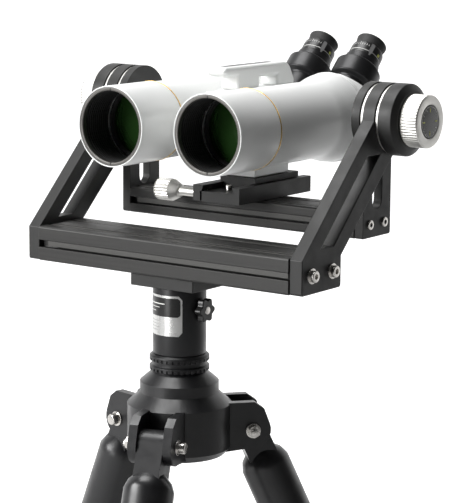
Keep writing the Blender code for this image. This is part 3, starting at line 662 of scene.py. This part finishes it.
def build_altitude(side, sign):
    """Friction washers, hub disc and hand knob on one end of the altitude axis."""
    outward = (sign, 0, 0)
    for node in ("friction_washer_inner_", "friction_washer_outer_"):
        low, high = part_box(node + side)
        near = min(abs(low.x - AXIS.x), abs(high.x - AXIS.x)) / MM
        radius = (high.z - low.z) / 2 / MM
        ring = [(10.5, near + 3.0), (radius, near + 3.0, 0.5), (radius, near, 0.5), (10.5, near)]
        lathe(node + "ring_" + side, ring, AXIS, outward, MATERIAL["aluminium"], "fork",
              "bright_aluminium", (node + side,), segments=128, closed=True)
    low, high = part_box("altitude_hub_" + side)
    far = max(abs(low.x - AXIS.x), abs(high.x - AXIS.x)) / MM - 12.2
    radius = (high.z - low.z) / 2 / MM
    hub = [(0, far + 12.2), (5.5, far + 12.2), (5.5, far), (33.0, far, 0.5), (radius, far - 4.0, 0.9),
           (radius, far - 20.8, 0.5), (9.7, far - 20.8), (9.7, far - 50.0), (0, far - 50.0)]
    lathe("hub_disc_" + side, hub, AXIS, outward, MATERIAL["anodised"], "fork", "black_anodised",
          ("altitude_hub_" + side,), segments=128)
    build_altitude_knob(side, sign)


def build_altitude_knob(side, sign):
    """Knurled hand knob with a black cap and a plain ring of ticks."""
    outward, body = (sign, 0, 0), "altitude_knob_" + side
    low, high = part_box("altitude_knob_" + side)
    base = min(abs(low.x - AXIS.x), abs(high.x - AXIS.x)) / MM
    top = max(abs(low.x - AXIS.x), abs(high.x - AXIS.x)) / MM
    radius = (high.z - low.z) / 2 / MM
    knob = [(0, top - 1.4), (19.2, top - 1.4), (19.2, top, 0.3), (radius - 1.0, top, 0.5),
            (radius, top - 1.4), (radius, top - 1.7), (radius, base + 1.9), (radius, base + 1.6),
            (radius - 0.8, base, 0.4), (5.9, base), (5.9, base + 13.0), (0, base + 13.0)]
    lathe("tension_knob_" + side, knob, AXIS, outward, MATERIAL["aluminium"], body, "bright_aluminium",
          ("altitude_knob_" + side,), segments=448, relief=ribs(56, 0.9, base + 1.7, top - 1.5, 0.7))
    cap = [(0, top - 0.2), (18.4, top - 0.2, 0.4), (18.9, top - 0.8, 0.2), (18.9, top - 1.35),
           (0, top - 1.35)]
    lathe("knob_cap_" + side, cap, AXIS, outward, MATERIAL["label_black"], body, "black_plastic",
          segments=128)
    ring = [(17.0, top - 0.1), (17.0, top - 0.3), (16.5, top - 0.3), (16.5, top - 0.1)]
    lathe("knob_ring_" + side, ring, AXIS, outward, MATERIAL["paint_mark"], body, "bright_aluminium",
          segments=128, closed=True)
    for index in range(12):
        angle = math.radians(30.0 * index)
        long = index % 3 == 0
        inner, outer = (10.6, 15.4) if long else (13.2, 15.4)
        spoke = Vector((0, math.cos(angle), math.sin(angle)))
        at = AXIS + Vector(outward) * (top - 0.12) * MM + spoke * (inner + outer) / 2 * MM
        name = "knob_tick_%02d_%s" % (index + 1, side)
        piece = block_mesh(name, rounded_box(outer - inner, 1.4 if long else 0.8, 0.3, 2), 0.12,
                           axis_frame(at, outward, spoke))
        add_piece(name, piece, MATERIAL["accent" if long else "paint_mark"], body)


def build_clamp():
    """Dovetail clamp with its hand screw, and the stop screw under the plate."""
    for node in ("dovetail_clamp_base", "dovetail_clamp_jaw"):
        refined(node, MATERIAL["anodised"], edge=0.5)
    at = Vector(JOINTS["clamp_screw_turn"]["pos_m"])
    at.x = AXIS.x
    knob = [(0, 93.2), (9.0, 93.2, 0.6), (11.8, 94.0, 0.6), (13.0, 92.8, 0.4), (13.0, 92.4), (13.0, 73.6),
            (13.0, 73.2), (12.2, 71.8, 0.4), (11.6, 70.6, 0.6), (8.0, 63.2, 0.8), (5.4, 61.6, 0.5),
            (5.4, 25.5), (3.0, 24.0), (3.0, 4.0), (0, 4.0)]
    lathe("clamp_hand_screw", knob, at, (-1, 0, 0), MATERIAL["aluminium"], "clamp_screw", "bright_aluminium",
          ("dovetail_clamp_knob",), segments=240, relief=ribs(24, 1.0, 73.4, 92.6, 0.6))
    low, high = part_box("dovetail_stop_screw")
    middle = (low + high) / 2
    stop = [(0, 4.4), (1.7, 4.4), (1.7, 6.7), (3.1, 6.7, 0.4), (3.4, 6.2), (3.4, 0.3), (0, 0.3)]
    lathe("stop_screw_head", stop, Vector((middle.x, middle.y, low.z - 0.3 * MM)), (0, 0, 1),
          MATERIAL["steel"], "cradle", "stainless_steel", ("dovetail_stop_screw",), segments=36)


# ---- column and tripod ------------------------------------------------------------------------
def build_column():
    """Sleeve, castellated tension ring, lock knob, spindle and the plate on the sleeve."""
    low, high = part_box("pier_sleeve")
    radius = (high.x - low.x) / 2 / MM
    base, top = low.z / MM, high.z / MM
    sleeve = [(20.0, top), (radius, top, 0.6), (radius, base, 0.8), (20.0, base)]
    lathe("sleeve_surface", sleeve, COLUMN, (0, 0, 1), MATERIAL["turned_black"], "fork", "black_anodised",
          ("pier_sleeve",), segments=128, closed=True)
    low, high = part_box("azimuth_tension_ring")
    base = low.z / MM

    def castle(r, z, angle):
        height = z - base
        upper, lower = 12.4 < height < 15.6, 1.2 < height < 4.4
        if r > 31.0 and (upper or lower) and math.sin(32 * angle) > 0.1:
            return r - 1.5
        return r

    ring = [(20.0, base + 20.1), (31.0, base + 20.1, 0.5), (34.0, base + 17.6, 0.6), (34.0, base + 15.8),
            (34.0, base + 15.4), (34.0, base + 12.6), (33.0, base + 12.2), (31.5, base + 11.8, 0.3),
            (31.5, base + 7.2, 0.3), (34.0, base + 6.0, 0.3), (34.0, base + 4.6), (34.0, base + 4.2),
            (34.0, base + 1.4), (33.4, base + 1.0), (32.0, base), (20.0, base)]
    lathe("tension_ring_surface", ring, COLUMN, (0, 0, 1), MATERIAL["turned_black"], "azimuth_ring",
          "black_anodised", ("azimuth_tension_ring",), segments=256, closed=True, relief=castle)
    refined("azimuth_lock_knob", MATERIAL["plastic"], edge=0.9, segments=3, angle=35.0)
    low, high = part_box("azimuth_lock_knob")
    at = Vector((high.x, (low.y + high.y) / 2, (low.z + high.z) / 2))
    cap = [(0, 0.5), (4.2, 0.4, 0.2), (4.8, -0.4, 0.2), (4.8, -1.5), (0, -1.5)]
    lathe("lock_knob_cap", cap, at, (1, 0, 0), MATERIAL["steel"], "azimuth_lock", "stainless_steel",
          segments=36)
    spindle = frame["nodes"]["azimuth_spindle"].data.materials
    spindle.clear()
    spindle.append(MATERIAL["steel"])
    build_label(radius)


def curved_plate(name, radius, angles, heights, thickness, corner, material):
    """A thin plate bent round the column, with rounded corners; angles are in degrees."""
    middle = (math.radians(angles[0]) + math.radians(angles[1])) / 2
    width = math.radians(angles[1] - angles[0]) * radius
    height = heights[1] - heights[0]
    half_w, half_h = width / 2 - corner, height / 2 - corner
    columns, rows = 32, 10
    shape = bmesh.new()
    layers = []
    for depth in (0.0, thickness):
        grid = []
        for j in range(rows + 1):
            v = -1 + 2 * j / rows
            y = v * height / 2
            over = max(0.0, abs(y) - half_h)
            reach = half_w + math.sqrt(max(0.0, corner * corner - over * over))
            line = []
            for i in range(columns + 1):
                x = reach * (-1 + 2 * i / columns)
                angle = middle + x / radius
                r = (radius + depth) * MM
                z = (sum(heights) / 2 + y) * MM
                line.append(shape.verts.new(COLUMN + Vector((r * math.cos(angle), r * math.sin(angle), z))))
            grid.append(line)
        layers.append(grid)
    inner, outer = layers
    for grid in (inner, outer):
        for j in range(rows):
            for i in range(columns):
                shape.faces.new((grid[j][i], grid[j][i + 1], grid[j + 1][i + 1], grid[j + 1][i]))
    border = [(0, i) for i in range(columns)] + [(j, columns) for j in range(rows)]
    border += [(rows, i) for i in range(columns, 0, -1)] + [(j, 0) for j in range(rows, 0, -1)]
    for a, b in zip(border, border[1:] + border[:1]):
        shape.faces.new((inner[a[0]][a[1]], inner[b[0]][b[1]], outer[b[0]][b[1]], outer[a[0]][a[1]]))
    bmesh.ops.recalc_face_normals(shape, faces=shape.faces)
    add_piece(name, mesh_from(shape, name), material, "fork")


def build_label(radius):
    """A blank rating plate: foil with a black upper panel and plain rules."""
    top = AXIS.z / MM - 197.0
    start, end = -152.0, -47.0
    curved_plate("rating_plate", radius + 0.05, (start, end), (top - 46.0, top), 0.25, 4.0, MATERIAL["label"])
    curved_plate("rating_panel", radius + 0.2, (start + 5.0, end - 4.0), (top - 24.0, top - 2.6), 0.25, 3.0,
                 MATERIAL["label_black"])
    for index, (width, height) in enumerate(((58.0, 1.2), (44.0, 0.7), (32.0, 0.7))):
        level = top - 9.0 - index * 4.4
        curved_plate("panel_rule_%d" % (index + 1), radius + 0.35,
                     (start + 8.0, start + 8.0 + width), (level - height, level), 0.2, height * 0.3,
                     MATERIAL["paint_mark"])
    for index in range(4):
        level = top - 29.0 - index * 3.6
        curved_plate("plate_rule_%d" % (index + 1), radius + 0.2,
                     (start + 10.0, start + 52.0 - 7.0 * (index % 2)), (level - 0.5, level), 0.2, 0.15,
                     MATERIAL["grey_mark"])


def build_tripod():
    """Hub and three legs; each leg's trim is placed from its joints."""
    refined("tripod_hub", MATERIAL["casting"], edge=1.2, segments=3, angle=24.0)
    for number in (1, 2, 3):
        refined("leg_upper_%d" % number, MATERIAL["casting"], edge=0.9, segments=2, angle=38.0)
        fold = JOINTS["leg_fold_%d" % number]
        down = Vector(JOINTS["leg_extend_%d" % number]["axis"])
        build_leg_trim(number, Vector(fold["pos_m"]), down, Vector(fold["axis"]))


def build_leg_trim(number, pivot, down, tangent):
    """Hinge bolt, inner leg, clamp ring, lock knob and rubber foot of one leg."""
    bolt = [(0, 36), (5.6, 36, 0.7), (6.5, 34.6, 0.4), (6.5, 27.6), (8.6, 27.5, 0.3), (8.6, 26.0),
            (4.6, 26.0), (4.6, -26.0), (8.6, -26.0), (8.6, -27.5, 0.3), (7.0, -27.6), (7.0, -33.5, 0.4),
            (4.0, -33.6), (4.0, -36.6, 0.8), (0, -37.0)]

    def flats(r, z, angle):
        if not (-33.6 < z < -27.55 and 6.8 < r < 7.2):
            return r
        return hex_radius(6.3, angle)

    lathe("hinge_bolt_%d" % number, bolt, pivot, tangent, MATERIAL["steel"], "tripod", "stainless_steel",
          ("leg_pivot_bolt_%d" % number,), segments=48, relief=flats)
    near, far = 130.0, 570.0
    inner = [(23.4, -near, 0.6), (23.4, -far, 0.6), (21.0, -far), (21.0, -near)]
    lathe("inner_leg_%d" % number, inner, pivot, -down, MATERIAL["aluminium"], "leg_extension_%d" % number,
          "bright_aluminium", ("leg_lower_%d" % number,), segments=96, closed=True)
    band = [(35.0, -376.5, 0.6), (35.0, -379.5, 0.6), (30.0, -379.5), (30.0, -376.5)]
    lathe("clamp_band_%d" % number, band, pivot, -down, MATERIAL["rim"], "leg_%d" % number, "black_casting",
          segments=96, closed=True)
    lock = JOINTS["leg_lock_turn_%d" % number]
    at, outward = Vector(lock["pos_m"]), Vector(lock["axis"])
    knob = [(0, 59.6), (9.0, 60.0, 0.8), (16.4, 57.4, 1.6), (18.0, 54.6, 0.6), (18.0, 54.2), (18.0, 46.6),
            (17.4, 45.8, 0.8), (10.0, 43.0, 1.0), (10.0, 34.0), (4.0, 34.0), (4.0, 24.2), (0, 24.2)]

    def grips(r, z, angle):
        return r - 2.0 * max(0.0, math.cos(6 * angle)) ** 2 if z > 45.0 and r > 12.0 else r

    lathe("lock_hand_knob_%d" % number, knob, at, outward, MATERIAL["plastic"], "leg_lock_%d" % number,
          "black_plastic", ("leg_lock_knob_%d" % number,), segments=96, relief=grips)
    reach = (pivot.z - FOOT_RADIUS * MM) / -down.z
    centre = pivot + down * reach
    foot = [(0, 12.0), (22.0, 12.0, 1.2), (24.0, 10.0, 1.0), (24.0, 6.0, 0.3), (23.4, 5.4), (23.4, 4.4),
            (24.0, 3.8, 0.3)]
    foot += [(FOOT_RADIUS * math.cos(a), FOOT_RADIUS * math.sin(a))
             for a in (-math.pi * i / 20 for i in range(10))]
    foot.append((0, -FOOT_RADIUS))
    lathe("foot_rubber_%d" % number, foot, centre, -down, MATERIAL["rubber"], "leg_extension_%d" % number,
          "black_rubber", ("leg_foot_%d" % number,), segments=64)


# ---- stage ------------------------------------------------------------------------------------
def build_stage():
    """A pale floor that brightens in bands and rises into a glowing white backdrop."""
    bands = 12
    shades = []
    for index in range(bands + 1):
        share = index / bands
        material = bpy.data.materials.new("pale_floor_%02d" % index)
        material.use_nodes = True
        shader = material.node_tree.nodes["Principled BSDF"]
        colour = 0.62 + 0.18 * share
        shader.inputs["Base Color"].default_value = (colour, colour, colour, 1)
        shader.inputs["Roughness"].default_value = 0.9
        shader.inputs["Emission Color"].default_value = (1, 1, 1, 1)
        shader.inputs["Emission Strength"].default_value = 0.75 * share
        shades.append(material)
    radius, back, height, half = 1.6, 3.4, 9.0, 12.0
    near, first_band, band_width = -14.0, 0.4, 0.1
    profile = [(near, 0.0)] + [(first_band + band_width * index, 0.0) for index in range(bands)]
    profile.append((back, 0.0))
    profile += [(back + radius * math.sin(a), radius - radius * math.cos(a))
                for a in (math.pi / 2 * i / 16 for i in range(1, 17))]
    profile.append((back + radius, height))
    turn = Matrix.Rotation(math.radians(SWEEP_HEADING), 4, "Z")
    shape = bmesh.new()
    lines = [[shape.verts.new(turn @ Vector((x, y, z))) for y, z in profile] for x in (-half, half)]
    for i in range(len(profile) - 1):
        face = shape.faces.new((lines[0][i], lines[1][i], lines[1][i + 1], lines[0][i + 1]))
        face.material_index = min(i, bands)
    mesh = mesh_from(shape, "sweep")
    mesh.shade_smooth()
    floor = bpy.data.objects.new("sweep", mesh)
    bpy.context.scene.collection.objects.link(floor)
    for material in shades:
        mesh.materials.append(material)


def area_light(name, location, target, size, power):
    light = bpy.data.lights.new(name, "AREA")
    light.shape = "RECTANGLE"
    light.size, light.size_y = size
    light.energy = power
    obj = bpy.data.objects.new(name, light)
    obj.location = location
    direction = Vector(target) - Vector(location)
    obj.rotation_euler = direction.to_track_quat("-Z", "Y").to_euler()
    bpy.context.scene.collection.objects.link(obj)


def build_lights():
    """A broad key from the front left, a soft top light and a weak low light from the front."""
    target = AXIS + Vector((0.0, -0.05, -0.1))
    area_light("key", (-1.9, -2.8, 2.0), target, (2.0, 1.6), 150.0)
    area_light("top", (-0.5, -0.2, 2.9), target, (1.4, 1.4), 50.0)
    area_light("low_front", (-0.9, -3.4, 0.5), target, (1.2, 0.8), 20.0)
    world = bpy.data.worlds.new("studio")
    world.use_nodes = True
    background = world.node_tree.nodes["Background"]
    background.inputs["Color"].default_value = (1, 1, 1, 1)
    background.inputs["Strength"].default_value = 0.05
    bpy.context.scene.world = world


def build_camera():
    """A long lens from the front right, a little above the altitude axis."""
    camera = bpy.data.cameras.new("camera")
    camera.sensor_width = 36.0
    camera.lens = 149.43
    camera.clip_end = 100.0
    obj = bpy.data.objects.new("camera", camera)
    heading, pitch, roll = math.radians(36.007), math.radians(-9.903), math.radians(0.356)
    turn = Matrix.Rotation(heading, 4, "Z") @ Matrix.Rotation(math.pi / 2 + pitch, 4, "X")
    place = Matrix.Translation(AXIS + Vector((1.40204, -1.98366, 0.25330)))
    obj.matrix_world = place @ turn @ Matrix.Rotation(roll, 4, "Z")
    bpy.context.scene.collection.objects.link(obj)
    bpy.context.scene.camera = obj


def build_binocular():
    for side, _ in SIDES:
        build_hood(side)
        build_main_tube(side)
        build_housing(side)
        build_turret(side)
        build_eyepiece(side)
    build_saddle()


build_camera()
build_stage()
build_lights()
bpy.context.scene.view_settings.view_transform = "Standard"
build_binocular()
build_rails()
build_arms()
for name, hand in SIDES:
    build_altitude(name, hand)
build_clamp()
build_column()
build_tripod()
